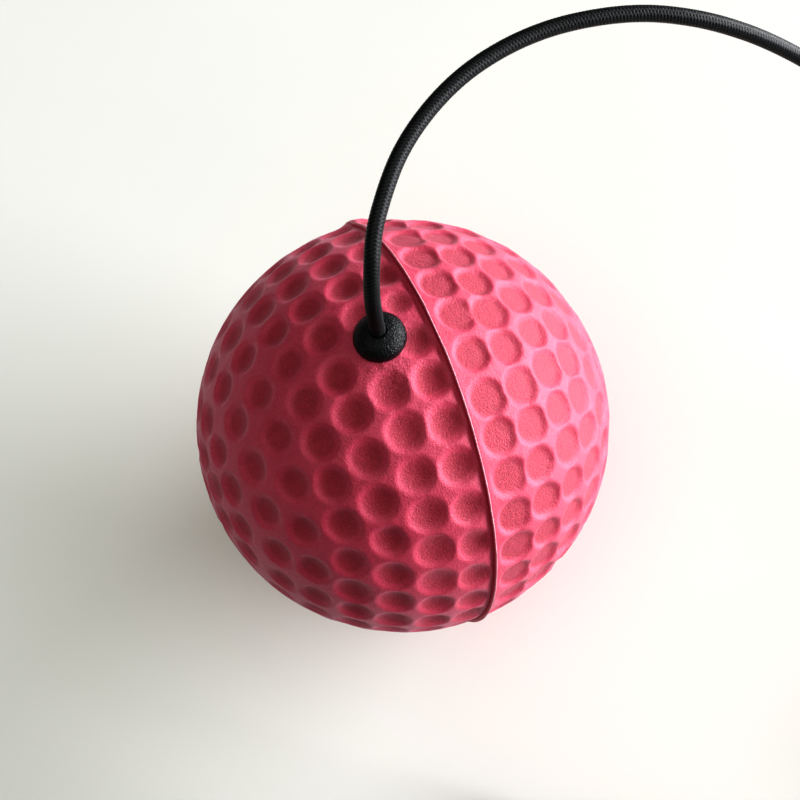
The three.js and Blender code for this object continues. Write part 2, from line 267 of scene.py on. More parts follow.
def smooth_line(points, step):
    """A smooth curve through the points, as points about step apart."""
    points = np.array(points, float)
    at = distance_along(points)
    slopes = np.gradient(points, at, axis=0)
    count = int(round(at[-1] / step))
    wanted = np.linspace(0, at[-1], count + 1)
    i = np.clip(np.searchsorted(at, wanted, side="right") - 1, 0, len(points) - 2)
    width = (at[i + 1] - at[i])[:, None]
    t = (wanted[:, None] - at[i][:, None]) / width
    h00, h10 = 2 * t**3 - 3 * t**2 + 1, t**3 - 2 * t**2 + t
    h01, h11 = -2 * t**3 + 3 * t**2, t**3 - t**2
    return h00 * points[i] + h10 * width * slopes[i] + h01 * points[i + 1] + h11 * width * slopes[i + 1]


def carried_frames(points):
    """Two unit vectors across the line at each point, which don't twist about it."""
    along = units(np.gradient(points, axis=0))
    side = np.cross(along[0], [0.3, 0.9, 0.2])
    sides = []
    for direction in along:
        side = unit(side - direction * (side @ direction))
        sides.append(side)
    sides = np.array(sides)
    return sides, np.cross(along, sides)


def tube_grid(line, sides, others, radius, angle):
    """Rings of points round a line. radius has a row for each point, of one value or one for each angle."""
    return (
        line[:, None, :]
        + sides[:, None, :] * (radius * np.cos(angle))[:, :, None]
        + others[:, None, :] * (radius * np.sin(angle))[:, :, None]
    )


# ---- materials -----------------------------------------------------------------------------------


class Look:
    """A procedural material, made by adding nodes. Each method gives back an output socket."""

    def __init__(self, name, **shader):
        self.material = bpy.data.materials.new(name)
        self.material.use_nodes = True
        self.tree = self.material.node_tree
        self.shader = self.tree.nodes["Principled BSDF"]
        for socket, value in shader.items():
            self.shader.inputs[socket.replace("_", " ")].default_value = value

    def node(self, kind, settings=None, **inputs):
        made = self.tree.nodes.new(kind)
        for key, value in (settings or {}).items():
            setattr(made, key, value)
        for key, value in inputs.items():
            self.connect(made.inputs[key.replace("_", " ")], value)
        return made

    def connect(self, socket, value):
        if isinstance(value, bpy.types.NodeSocket):
            self.tree.links.new(value, socket)
        else:
            socket.default_value = value

    def position(self):
        return self.node("ShaderNodeTexCoord").outputs["Object"]

    def along(self, u_scale, v_scale):
        """The piece's own UV, scaled, so that one unit is one repeat of a pattern."""
        uv = self.node("ShaderNodeUVMap", {"uv_map": "along"}).outputs["UV"]
        return self.node("ShaderNodeMapping", Vector=uv, Scale=(u_scale, v_scale, 1)).outputs["Vector"]

    def noise(self, size, detail=2, vector=None, roughness=0.5):
        made = self.node(
            "ShaderNodeTexNoise", Vector=vector or self.position(), Scale=1 / size,
            Detail=detail, Roughness=roughness,
        )
        return made.outputs["Fac"]

    def cells(self, size):
        return self.node("ShaderNodeTexVoronoi", Vector=self.position(), Scale=1 / size).outputs["Distance"]

    def attribute(self, name):
        return self.node("ShaderNodeAttribute", {"attribute_name": name}).outputs["Fac"]

    def math(self, operation, a, b=0.0):
        made = self.node("ShaderNodeMath", {"operation": operation})
        self.connect(made.inputs[0], a)
        self.connect(made.inputs[1], b)
        return made.outputs[0]

    def spread(self, value, low, high, out_low=0.0, out_high=1.0):
        made = self.node(
            "ShaderNodeMapRange", Value=value, From_Min=low, From_Max=high, To_Min=out_low, To_Max=out_high,
        )
        return made.outputs["Result"]

    def mix(self, factor, a, b):
        made = self.node("ShaderNodeMix", {"data_type": "RGBA"})
        self.connect(made.inputs[0], factor)
        for index, colour in ((6, a), (7, b)):
            if not isinstance(colour, bpy.types.NodeSocket):
                colour = (*colour, 1)
            self.connect(made.inputs[index], colour)
        return made.outputs[2]

    def colour(self, value):
        self.connect(self.shader.inputs["Base Color"], value)

    def roughness(self, value):
        self.connect(self.shader.inputs["Roughness"], value)

    def bump(self, height, distance, normal=None):
        made = self.node("ShaderNodeBump", Height=height, Distance=distance)
        if normal is not None:
            self.connect(made.inputs["Normal"], normal)
        return made.outputs["Normal"]

    def normal(self, value):
        self.connect(self.shader.inputs["Normal"], value)

    def put_on(self, *pieces):
        for piece in pieces:
            piece.data.materials.clear()
            piece.data.materials.append(self.material)


def flash_look():
    """The thin, ragged fin along the seam: foam-red at its foot, with a painted highlight that makes its top
    pale.
    """
    look = Look("seam_glue", Specular_IOR_Level=0.6)
    grain = look.noise(0.25 * MM, detail=3)
    pale = look.mix(look.spread(grain, 0.35, 0.65), (0.75, 0.20, 0.30), (0.95, 0.60, 0.70))
    # Painted highlight: the top of the fin is mixed towards pale pink.
    look.colour(look.mix(look.attribute("crest_highlight"), (0.5, 0.026, 0.06), pale))
    look.roughness(look.spread(grain, 0.3, 0.7, 0.5, 0.7))
    look.normal(look.bump(grain, 0.06 * MM))
    return look


def foam_look():
    """Moulded foam: a powdery skin, darker and coarser on the floors of the dimples and where it's torn."""
    look = Look(
        "foam", Specular_IOR_Level=1.0, Specular_Tint=(1, 0.85, 1, 1),
        Sheen_Weight=0.2, Sheen_Roughness=0.5, Sheen_Tint=(1, 0.8, 1, 1),
    )
    floor = look.attribute("floor")
    torn = look.attribute("torn")
    coarse = look.math("MAXIMUM", floor, torn)
    grain = look.noise(0.3 * MM, detail=4, roughness=0.65)
    fine = look.noise(0.13 * MM, detail=2)
    patches = look.noise(7 * MM, detail=2)
    skin = look.mix(look.spread(patches, 0.35, 0.65), (0.58, 0.042, 0.094), (0.55, 0.036, 0.084))
    colour = look.mix(floor, skin, (0.44, 0.016, 0.040))
    pits = look.math("MULTIPLY", look.spread(grain, 0.52, 0.36), look.spread(coarse, 0, 1, 0.3, 0.6))
    colour = look.mix(pits, colour, (0.28, 0.010, 0.03))
    specks = look.math("MULTIPLY", look.spread(grain, 0.56, 0.72), look.spread(torn, 0, 1, 0.15, 0.8))
    look.colour(look.mix(specks, colour, (0.85, 0.18, 0.28)))
    rough = look.spread(fine, 0.3, 0.7, 0.48, 0.62)
    look.roughness(look.math("ADD", rough, look.math("MULTIPLY", coarse, 0.08)))
    depth = look.math("MULTIPLY", grain, look.spread(coarse, 0, 1, 0.6, 1))
    look.normal(look.bump(fine, 0.04 * MM, look.bump(depth, 0.19 * MM)))
    return look


def cord_look():
    """Black braid: painted highlights make the tops of the strands a little paler, and painted shade darkens
    the gaps between them.
    """
    look = Look("cord_braid", Specular_IOR_Level=0.3)
    fibre = look.noise(0.09 * MM, detail=3)
    # Painted highlight on the strand tops, and painted shade in the gaps between them.
    crown = look.spread(look.attribute("strand"), 0.75, 1)
    crown_highlight = look.mix(look.spread(fibre, 0.35, 0.7), (0.008, 0.011, 0.013), (0.07, 0.085, 0.09))
    look.colour(look.mix(crown, (0.002, 0.0025, 0.003), crown_highlight))
    look.roughness(look.spread(fibre, 0.3, 0.7, 0.34, 0.55))
    look.normal(look.bump(fibre, 0.03 * MM))
    return look


def rubber_look():
    """Black moulded rubber with a fine, sparkling grain."""
    look = Look("plug_rubber", Specular_IOR_Level=0.3)
    grain = look.noise(0.22 * MM, detail=2)
    dust = look.noise(1.5 * MM, detail=3)
    look.colour(look.mix(look.spread(dust, 0.5, 0.8), (0.002, 0.003, 0.004), (0.005, 0.008, 0.010)))
    look.roughness(look.spread(grain, 0.3, 0.7, 0.22, 0.45))
    look.normal(look.bump(grain, 0.16 * MM))
    return look


def webbing_look(name, dark, pale, rib):
    """Woven tape: warp cords that go along it, crossed by weft, with a herringbone."""
    look = Look(name, Sheen_Weight=0.25, Sheen_Roughness=0.4, Specular_IOR_Level=0.35)
    place = look.node("ShaderNodeSeparateXYZ", Vector=look.along(1, 1))
    along, across = place.outputs["X"], place.outputs["Y"]
    warp = look.math("SINE", look.math("MULTIPLY", across, 2 * math.pi / (0.9 * MM)))
    slant = look.math("PINGPONG", across, 2.5 * MM)
    weft_place = look.math("ADD", along, look.math("MULTIPLY", slant, 0.6))
    weft = look.math("SINE", look.math("MULTIPLY", weft_place, 2 * math.pi / rib))
    weave = look.math("MAXIMUM", look.math("MULTIPLY", warp, weft), look.math("MULTIPLY", weft, 0.6))
    fibre = look.noise(0.12 * MM, detail=3)
    wear = look.noise(14 * MM, detail=3)
    tone = look.math("MULTIPLY", look.spread(weave, -0.6, 1), look.spread(fibre, 0.3, 0.7, 0.5, 1))
    colour = look.mix(tone, dark, pale)
    look.colour(look.mix(look.spread(wear, 0.5, 0.8, 0, 0.35), colour, tuple(1.6 * c for c in pale)))
    look.roughness(look.spread(weave, -1, 1, 0.85, 0.62))
    look.normal(look.bump(fibre, 0.05 * MM, look.bump(weave, 0.16 * MM)))
    return look


def leather_look():
    """Coated leather cloth: a pebbled grain with creases and rubbed places."""
    look = Look("patch_leather", Specular_IOR_Level=0.5)
    pebbles = look.cells(1.3 * MM)
    creases = look.noise(4 * MM, detail=5, roughness=0.6)
    pores = look.noise(0.25 * MM, detail=2)
    rubbed = look.noise(11 * MM, detail=3)
    colour = look.mix(look.spread(pebbles, 0.1, 0.7), (0.020, 0.020, 0.023), (0.008, 0.008, 0.010))
    look.colour(look.mix(look.spread(rubbed, 0.52, 0.75, 0, 0.6), colour, (0.045, 0.044, 0.047)))
    rough = look.spread(pebbles, 0, 0.7, 0.4, 0.62)
    look.roughness(look.math("ADD", rough, look.spread(rubbed, 0.4, 0.8, 0, 0.12)))
    grain = look.bump(pebbles, -0.16 * MM, look.bump(creases, 0.25 * MM))
    look.normal(look.bump(pores, 0.02 * MM, grain))
    return look


def plastic_look():
    """Moulded nylon: a fine spark texture, scuffed in places."""
    look = Look("buckle_plastic")
    texture = look.noise(0.22 * MM, detail=2)
    scuffs = look.noise(5 * MM, detail=5, roughness=0.7)
    look.colour(look.mix(look.spread(scuffs, 0.55, 0.75), (0.010, 0.010, 0.012), (0.035, 0.035, 0.038)))
    rough = look.spread(texture, 0.3, 0.7, 0.3, 0.42)
    look.roughness(look.math("ADD", rough, look.spread(scuffs, 0.5, 0.8, 0, 0.2)))
    look.normal(look.bump(texture, 0.05 * MM))
    return look


def metal_look(name, bright, dull):
    """Plated metal with brushed scratches and a little tarnish."""
    look = Look(name, Metallic=1.0)
    stretched = look.node("ShaderNodeMapping", Vector=look.position(), Scale=(1, 1, 14)).outputs["Vector"]
    scratches = look.noise(1.2 * MM, detail=4, vector=stretched)
    tarnish = look.noise(2.2 * MM, detail=3)
    look.colour(look.mix(look.spread(tarnish, 0.45, 0.75), bright, dull))
    rough = look.spread(scratches, 0.3, 0.7, 0.16, 0.34)
    look.roughness(look.math("ADD", rough, look.spread(tarnish, 0.4, 0.8, 0, 0.2)))
    look.normal(look.bump(scratches, 0.02 * MM))
    return look


def silicone_look():
    """Pale grey silicone, a little see-through and dusty."""
    look = Look("grip_silicone", Subsurface_Weight=0.2, Coat_Weight=0.15)
    cloud = look.noise(5 * MM, detail=2)
    dust = look.noise(0.3 * MM, detail=3)
    look.colour(look.mix(look.spread(cloud, 0.4, 0.7), (0.34, 0.36, 0.39), (0.24, 0.26, 0.29)))
    look.roughness(look.spread(dust, 0.35, 0.7, 0.28, 0.5))
    look.normal(look.bump(dust, 0.02 * MM))
    return look


def thread_look():
    """Dark grey sewing thread."""
    look = Look("stitch_thread", Sheen_Weight=0.3)
    twist = look.noise(0.15 * MM, detail=2)
    look.colour(look.mix(look.spread(twist, 0.35, 0.65), (0.10, 0.10, 0.11), (0.26, 0.26, 0.28)))
    look.roughness(look.spread(twist, 0.3, 0.7, 0.5, 0.75))
    look.normal(look.bump(twist, 0.05 * MM))
    return look


FOAM = foam_look()
FLASH = flash_look()
CORD = cord_look()
RUBBER = rubber_look()
WEBBING = webbing_look("webbing", (0.006, 0.006, 0.008), (0.035, 0.036, 0.040), 1.2 * MM)
TIE = webbing_look("tie_strap", (0.010, 0.010, 0.012), (0.05, 0.05, 0.055), 0.5 * MM)
LEATHER = leather_look()
PLASTIC = plastic_look()
EYELET_METAL = metal_look("eyelet_metal", (0.62, 0.60, 0.56), (0.33, 0.31, 0.28))
STEEL = metal_look("washer_steel", (0.6, 0.61, 0.62), (0.36, 0.36, 0.37))
SILICONE = silicone_look()
THREAD = thread_look()


def finish_piece(piece, look, body, slot, *nodes):
    look.put_on(piece)
    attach(piece, body)
    if nodes:
        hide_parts(*nodes)


# ---- the ball ------------------------------------------------------------------------------------

# Rings of dimples on each half, from the seam to the pole: degrees from the seam, how many, and the
# place of the first, in degrees round from the plug.
RINGS_RIGHT = [
    (6.2, 35, 0.6), (15.6, 35, 1.1), (25.6, 32, 8.2), (36, 30, 5.9), (46.7, 24, 9.7),
    (57, 19, 4), (68, 13, 8), (79, 7, 0), (90, 1, 0),
]
RINGS_LEFT = [
    (5.4, 34, 3.5), (15, 34, 2.5), (25, 31, 4.1), (35, 28, 6.3), (45.5, 21, 12.4),
    (56, 17, 18.7), (67.5, 13, 27.5), (78, 8, 23.7), (90, 1, 0),
]
# The two halves come out of different moulds: flat-floored dimples on the right, bowls on the left.
# bowl is the share of a bowl in the shape, and the rest is flat; floor_from is where the floor's look begins.
RIGHT_DIMPLE = {"bowl": 0.2, "rim_r": 2.9 * MM, "floor_r": 1.95 * MM, "depth": 0.66 * MM, "floor_from": 0.55}
LEFT_DIMPLE = {"bowl": 1.0, "rim_r": 2.75 * MM, "floor_r": 1.2 * MM, "depth": 0.92 * MM, "floor_from": 0.3}
RIM_ROUND = 0.04
SCATTER = 0.25  # usual error in a dimple's place, in degrees
FLASH_HALF = 0.14 * MM  # half the thickness of the flash that stands up along the seam
FLASH_PROUD = 0.5 * MM
LIP = 0.1 * MM  # the right-hand half rises this much to the flash
STEP = 0.2 * MM  # and the left-hand half lies this much lower beside it
BULGE_AT = -56.0  # degrees round the seam from the plug, where a lump of foam stands out
BULGE_FROM_SEAM = 2.0  # and degrees from the seam
BULGE = 0.7 * MM
BULGE_R = 2.4 * MM
PLUG_CLEAR = 4.4 * MM  # no dimple has its middle nearer to the plug than this
PIT_R = 2.5 * MM  # the hole under the plug's cap
PIT_DEPTH = 9 * MM
TORN_R = 4.6 * MM
COLUMNS = 640

meridian = unit(UP - SEAM_NORMAL * (UP @ SEAM_NORMAL))
quarter = np.cross(SEAM_NORMAL, meridian)


def ball_directions(from_seam, round_seam):
    """Unit vectors for angles in degrees from the seam, towards the right-hand pole, and round it."""
    lat, lon = np.radians(from_seam)[..., None], np.radians(round_seam)[..., None]
    flat = np.cos(lon) * meridian + np.sin(lon) * quarter
    return np.cos(lat) * flat + np.sin(lat) * SEAM_NORMAL


def dimples(rings, side, random):
    """For each dimple: its direction, and its size and depth as shares of the usual ones."""
    made = []
    for from_seam, count, first in rings:
        for k in range(count):
            shift, turn = random.normal(0, SCATTER, 2) if count > 1 else (0, 0)
            size, depth = random.normal(1, 0.03), random.normal(1, 0.08)
            round_seam = first + 360 * k / count + turn
            direction = ball_directions(np.array(side * (from_seam + shift)), np.array(round_seam))
            off_plug = np.linalg.norm(direction - UP) * BALL_R
            if off_plug < PLUG_CLEAR:
                continue
            by_plug = off_plug < 2 * PLUG_CLEAR and direction @ quarter < 0
            if by_plug and from_seam < 10 and side < 0:
                size, depth = 0.72, 0.6
            made.append((direction, size, depth))
    return made


def dimple_depths(directions, made, shape):
    """How deep the surface lies, as a share of the usual depth, and how much of it is floor."""
    depths = np.zeros(len(directions))
    floors = np.zeros(len(directions))
    wander = np.stack([bumps(directions * BALL_R, 2.6 * MM, seed) for seed in (21, 22, 23)], axis=1)
    places = directions * BALL_R + 0.16 * MM * wander
    for direction, size, depth in made:
        distance = np.linalg.norm(places - direction * BALL_R, axis=1) / size
        near = distance < shape["rim_r"]
        bowl = 1 - (distance[near] / shape["rim_r"]) ** 2
        bowl = bowl**2 / (bowl + RIM_ROUND) * (1 + RIM_ROUND)
        flat = smooth_step((shape["rim_r"] - distance[near]) / (shape["rim_r"] - shape["floor_r"]))
        share = shape["bowl"] * bowl + (1 - shape["bowl"]) * flat
        depths[near] = np.maximum(depths[near], depth * share)
        floors[near] = np.maximum(floors[near], smooth_step((share - shape["floor_from"]) / 0.4))
    return depths, floors


def torn_share(directions):
    """Where the foam is crumbled: beside the plug, on the side towards the headband."""
    right, up, _ = camera_axes()
    spot = unit(UP - 0.14 * up + 0.03 * right)
    distance = np.linalg.norm(directions - spot, axis=1) * BALL_R
    return smooth_step(1.15 - distance / TORN_R)


def bulge_share(directions):
    """1 on top of the lump on the seam, falling to 0 round it."""
    towards = ball_directions(np.array(BULGE_FROM_SEAM), np.array(BULGE_AT))
    spread = np.linalg.norm(directions - towards, axis=1) * BALL_R / BULGE_R
    return np.exp(-(spread**4))


def seam_lift(side, from_seam, directions):
    """How far each half rises or drops beside the seam, for distances from it in metres."""
    near = np.exp(-((from_seam / (1.0 * MM)) ** 2))
    step = LIP if side > 0 else -STEP
    return step * near + BULGE * bulge_share(directions)


def half_rows():
    """Angles from the seam in degrees, closest together beside it."""
    start = math.degrees(FLASH_HALF / BALL_R)
    return np.concatenate([np.arange(start, 5, 0.3), np.arange(5.1, 89.6, 0.55), [89.8]])


def add_ball_half(name, node, side, rings, shape, seed):
    random = np.random.default_rng(seed)
    rows = half_rows()
    round_seam = np.linspace(0, 360, COLUMNS, endpoint=False)[::side]
    lat, lon = np.meshgrid(side * rows, round_seam, indexing="ij")
    directions = ball_directions(lat, lon).reshape(-1, 3)
    depths, floors = dimple_depths(directions, dimples(rings, side, random), shape)
    from_seam = np.radians(np.abs(lat).ravel()) * BALL_R
    open_share = smooth_step((from_seam - 0.25 * MM) / (0.9 * MM))
    torn = torn_share(directions)
    off_plug = np.linalg.norm(directions - UP, axis=1) * BALL_R
    pit = smooth_step((PIT_R - off_plug) / (0.4 * MM))
    places = directions * BALL_R
    radius = (
        BALL_R
        - shape["depth"] * depths * open_share
        + seam_lift(side, from_seam, directions)
        + 0.06 * MM * bumps(places, 6 * MM, seed)
        + 0.03 * MM * bumps(places, 0.9 * MM, seed + 1)
        + 0.12 * MM * torn * bumps(places, 0.5 * MM, seed + 3)
        - PIT_DEPTH * pit
    )
    grid = (ball + directions * radius[:, None]).reshape(*lat.shape, 3)
    piece = grid_mesh(name, grid)
    set_attribute(piece, "floor", floors * open_share)
    set_attribute(piece, "torn", torn)
    finish_piece(piece, FOAM, "ball", "foam", node)


# The flash's section: shares of its half thickness, and of its height over the ball. -1 is its root.
FLASH_SECTION = [
    (-1, -1), (-1, 0), (-0.9, 0.6), (-0.5, 0.95), (0.1, 1), (0.6, 0.85), (1, 0.4), (1, 0), (1, -1),
]
FLASH_ROOT = 1.6 * MM
FLASH_STEPS = 1400


def add_flash():
    """The thin, ragged fin of glue and foam that stands up along the seam."""
    round_seam = np.linspace(0, 360, FLASH_STEPS, endpoint=False)
    flat = ball_directions(np.zeros(FLASH_STEPS), round_seam)
    places = flat * BALL_R
    ragged = 0.05 * bumps(places, 1.3 * MM, 31) + 0.1 * bumps(places, 9 * MM, 32)
    torn = 0.5 * np.maximum(bumps(places, 2.2 * MM, 33) - 0.35, 0)
    lump = bulge_share(flat)
    top = (FLASH_PROUD + (ragged - torn) * MM) * (1 - 0.9 * lump) + BULGE * lump
    lean = bumps(places, 4 * MM, 34) * 0.06 * MM
    grid = np.empty((FLASH_STEPS, len(FLASH_SECTION), 3))
    for k, (across, share) in enumerate(FLASH_SECTION):
        lift = np.full(FLASH_STEPS, -FLASH_ROOT) if share < 0 else share * top
        shift = across * FLASH_HALF + max(share, 0) * lean
        grid[:, k] = ball + flat * (BALL_R + lift)[:, None] + SEAM_NORMAL * shift[:, None]
    piece = grid_mesh("seam_flash", grid, loop_rows=True)
    # How much painted highlight each point of the section gets: most at the top.
    crest_highlight = [max(share, 0) ** 3 for _, share in FLASH_SECTION]
    set_attribute(piece, "crest_highlight", np.tile(crest_highlight, FLASH_STEPS))
    finish_piece(piece, FLASH, "ball", "seam_glue", "seam_bead")


def turned(name, outline, segments, centre, axis=UP):
    """A solid turned about an axis. The outline is a closed list of (radius, height)."""
    axis = np.asarray(axis, float)
    side = unit(np.cross(axis, [0.31, 0.2, 0.93] if abs(axis[2]) < 0.9 else [1.0, 0, 0]))
    other = np.cross(axis, side)
    outline = np.array(outline)
    angle = np.linspace(0, 2 * math.pi, segments, endpoint=False)
    spokes = np.cos(angle)[:, None] * side + np.sin(angle)[:, None] * other
    grid = (
        np.asarray(centre)
        + spokes[:, None, :] * outline[None, :, 0:1]
        + axis * outline[None, :, 1:2]
    )
    return grid_mesh(name, grid, loop_rows=True)


def arc_points(middle, radius, start, end, steps):
    """Points of an ellipse's arc, from and to angles in degrees. radius is (across, up)."""
    angles = np.radians(np.linspace(start, end, steps))
    return [(middle[0] + radius[0] * math.cos(a), middle[1] + radius[1] * math.sin(a)) for a in angles]


def add_plug():
    """A domed cap that hugs the cord, on a stem that fills the hole."""
    low, high = plug_box
    cap_r = (high[0] - low[0]) / 2
    bore_r = CORD_R - 0.04 * MM
    stem_r = 2.2 * MM
    bevel = 0.3 * MM
    rim = -2.0 * MM
    underside = -2.55 * MM
    foot = low[2] - high[2]
    outline = [(bore_r, foot), (stem_r - bevel, foot), (stem_r, foot + bevel), (stem_r, underside)]
    outline += arc_points((cap_r - 0.35 * MM, rim - 0.2 * MM), (0.35 * MM, 0.35 * MM), -80, 0, 6)
    outline += arc_points((0.3 * MM, rim), (cap_r - 0.3 * MM, -rim), 4, 76, 24)
    piece = turned("plug", outline, 128, mouth)
    finish_piece(piece, RUBBER, "ball", "plug_rubber", "ball_plug")


add_ball_half("foam_right", "ball_half_right", 1, RINGS_RIGHT, RIGHT_DIMPLE, 3)
add_ball_half("foam_left", "ball_half_left", -1, RINGS_LEFT, LEFT_DIMPLE, 7)
add_flash()
add_plug()


# ---- knots, washers, eyelet ----------------------------------------------------------------------


def add_knot(name, node, body, axis):
    """A pulled-down overhand knot: a cord along a trefoil, drawn in until its turns press together."""
    low, high = box_of(node)
    size = (high - low).min() / 2
    t = np.linspace(0, 2 * math.pi, 400, endpoint=False)
    trefoil = np.stack([np.sin(t) + 2 * np.sin(2 * t), np.cos(t) - 2 * np.cos(2 * t), -np.sin(3 * t)], axis=1)
    strand = 0.42 * size
    line = trefoil / 3 * (size - strand)
    turn = Vector((0, 0, 1)).rotation_difference(Vector(axis)).to_matrix()
    centre = (low + high) / 2
    centre[2] = high[2] - size
    line = line @ np.array(turn).T + centre
    along = units(np.roll(line, -1, axis=0) - np.roll(line, 1, axis=0))
    out = line - centre
    out = units(out - along * (out * along).sum(axis=1)[:, None])
    other = np.cross(along, out)
    angle = np.linspace(0, 2 * math.pi, 16, endpoint=False)[None, :]
    ribs = np.cos(3 * angle + 60 * t[:, None]) * 0.03 * size
    piece = grid_mesh(name, tube_grid(line, out, other, strand + ribs, angle), loop_rows=True)
    finish_piece(piece, CORD, body, "cord_braid", node)


def add_washer(name, node, body, slot, look, axis, hole_r):
    """A flat washer with rounded edges, with its axis along X, Y or Z."""
    low, high = box_of(node)
    thickness = (high - low) @ np.abs(axis)
    radius = (high - low).max() / 2
    edge = 0.3 * thickness
    half = thickness / 2 - edge
    outline = [(hole_r + edge * 0.7, -thickness / 2), (radius - edge, -thickness / 2)]
    outline += arc_points((radius - edge, -half), (edge, edge), -70, 0, 4)
    outline += arc_points((radius - edge, half), (edge, edge), 0, 90, 5)
    outline += arc_points((hole_r + edge, half), (edge, edge), 110, 180, 4)
    outline += arc_points((hole_r + edge, -half), (edge, edge), 180, 250, 4)
    piece = turned(name, outline, 96, (low + high) / 2, axis)
    finish_piece(piece, look, body, slot, node)


def add_eyelet():
    """A rolled eyelet through the patch, with its flange outside."""
    low, high = box_of("eyelet")
    centre = np.array([(low[0] + high[0]) / 2, low[1], (low[2] + high[2]) / 2])
    depth = high[1] - low[1]
    flange_r = (high[0] - low[0]) / 2
    bore_r, barrel_r, roll = 1.3 * MM, 1.9 * MM, 0.9 * MM
    outline = [(bore_r, -depth + 0.2 * MM), (bore_r + 0.2 * MM, -depth), (barrel_r, -depth + 0.1 * MM)]
    outline += [(barrel_r, -roll), (flange_r - 0.15 * MM, -roll)]
    outline += arc_points(((bore_r + flange_r) / 2, -roll), ((flange_r - bore_r) / 2, roll), 6, 174, 24)
    piece = turned("rolled_eyelet", outline, 128, centre, (0, -1, 0))
    finish_piece(piece, EYELET_METAL, "headband", "eyelet_metal", "eyelet")


add_knot("knot_in_ball", "ball_knot", "cord_end", (0, 0, 1))
add_knot("knot_in_pocket", "band_knot", "headband", (0, -1, 0))
add_washer("washer_in_ball", "plug_washer", "cord_end", "washer_steel", STEEL, UP, 1.4 * MM)
add_washer(
    "washer_in_pocket", "eyelet_washer", "headband", "eyelet_metal", EYELET_METAL,
    np.array([0, 1.0, 0]), 2.2 * MM,
)
add_eyelet()


# ---- the headband's line -------------------------------------------------------------------------

BAND_HALF_WIDTH = 62 * MM
BAND_HALF_LENGTH = 78 * MM
FLAT_HALF = 43 * MM  # half of the flat stretch at the back
SHOULDER = 15 * MM  # the loop starts to turn this far past the flat stretch
band_back = middle("strap_ring")[1]
band_front = band_back - 2 * BAND_HALF_LENGTH
band_middle = band_back - BAND_HALF_LENGTH
side_y = band_middle + 4 * MM  # where the loop is widest
ring_x = middle("strap_ring")[0]


def bezier(p0, p1, p2, p3, steps=240):
    t = np.linspace(0, 1, steps)[:, None]
    p0, p1, p2, p3 = (np.array(p) for p in (p0, p1, p2, p3))
    return (1 - t) ** 3 * p0 + 3 * (1 - t) ** 2 * t * p1 + 3 * (1 - t) * t**2 * p2 + t**3 * p3


def loop_quarter(side):
    """From the back's flat stretch to the front on one side: side is -1 for -X and 1 for +X."""
    wide = side * BAND_HALF_WIDTH
    back = bezier(
        (side * FLAT_HALF, band_back), (side * (FLAT_HALF + SHOULDER), band_back),
        (wide, band_back - 34 * MM), (wide, side_y),
    )
    front = bezier(
        (wide, side_y), (wide, side_y - 46 * MM), (side * 36 * MM, band_front), (0, band_front),
    )
    return np.concatenate([back, front[1:]])


loop = np.concatenate([
    [(ring_x, band_back)], loop_quarter(-1), loop_quarter(1)[::-1][1:], [(ring_x, band_back)],
])
loop_at = distance_along(loop)
LOOP_LENGTH = loop_at[-1]
FRONT_AT = LOOP_LENGTH / 2 + ring_x
NEARBY = 0.4 * MM  # between places that give the line's direction


def on_loop(distance, offset=0.0):
    """Points on the headband's middle line, or beside it: offset is outwards."""
    distance = np.asarray(distance, float)
    ahead = np.minimum(distance + NEARBY, LOOP_LENGTH)
    behind = np.maximum(distance - NEARBY, 0)
    spot, spot_ahead, spot_behind = (
        np.stack([np.interp(d, loop_at, loop[:, k]) for k in (0, 1)], axis=-1)
        for d in (distance, ahead, behind)
    )
    along = spot_ahead - spot_behind
    along = along / np.linalg.norm(along, axis=-1, keepdims=True)
    out = np.stack([along[..., 1], -along[..., 0]], axis=-1)
    return spot + out * np.asarray(offset)[..., None]


def half_turn(centre, radius, towards, turn, steps=14):
    """Half a turn round a bar, from one layer to the other."""
    angle = turn * (math.pi / 2 - math.pi * np.arange(1, steps) / steps)
    x = centre[0] + towards * radius * np.cos(angle)
    y = centre[1] + radius * np.sin(angle)
    return np.stack([x, y], axis=1)


def resample(line, step):
    at = distance_along(line)
    wanted = np.linspace(0, at[-1], int(round(at[-1] / step)) + 1)
    return np.stack([np.interp(wanted, at, line[:, k]) for k in (0, 1)], axis=1), wanted


def normals_of(line):
    along = units(np.gradient(line, axis=0))
    return np.stack([along[:, 1], -along[:, 0]], axis=1)


# ---- straps --------------------------------------------------------------------------------------

STRAP_LOW, STRAP_HIGH = (corner[2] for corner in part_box("webbing_main"))
RIB = 1.6 * MM
RIB_DEPTH = 0.07 * MM
STRAP_STEP = RIB / 4


def strap_section(width, thickness, edge):
    """Round a strap's section: how far across each point is, and how far out of the middle."""
    inset = np.array([0, 0.12, 0.3, 0.55, 0.8, 1.0]) * edge
    across = np.concatenate([inset, np.linspace(2 * edge, width - 2 * edge, 15), width - inset[::-1]])
    from_edge = np.minimum(across, width - across)
    half = thickness / 2 * np.sqrt(np.clip(1 - (1 - np.minimum(from_edge / edge, 1)) ** 2, 0, 1))
    return np.concatenate([across, across[-2:0:-1]]), np.concatenate([half, -half[-2:0:-1]])


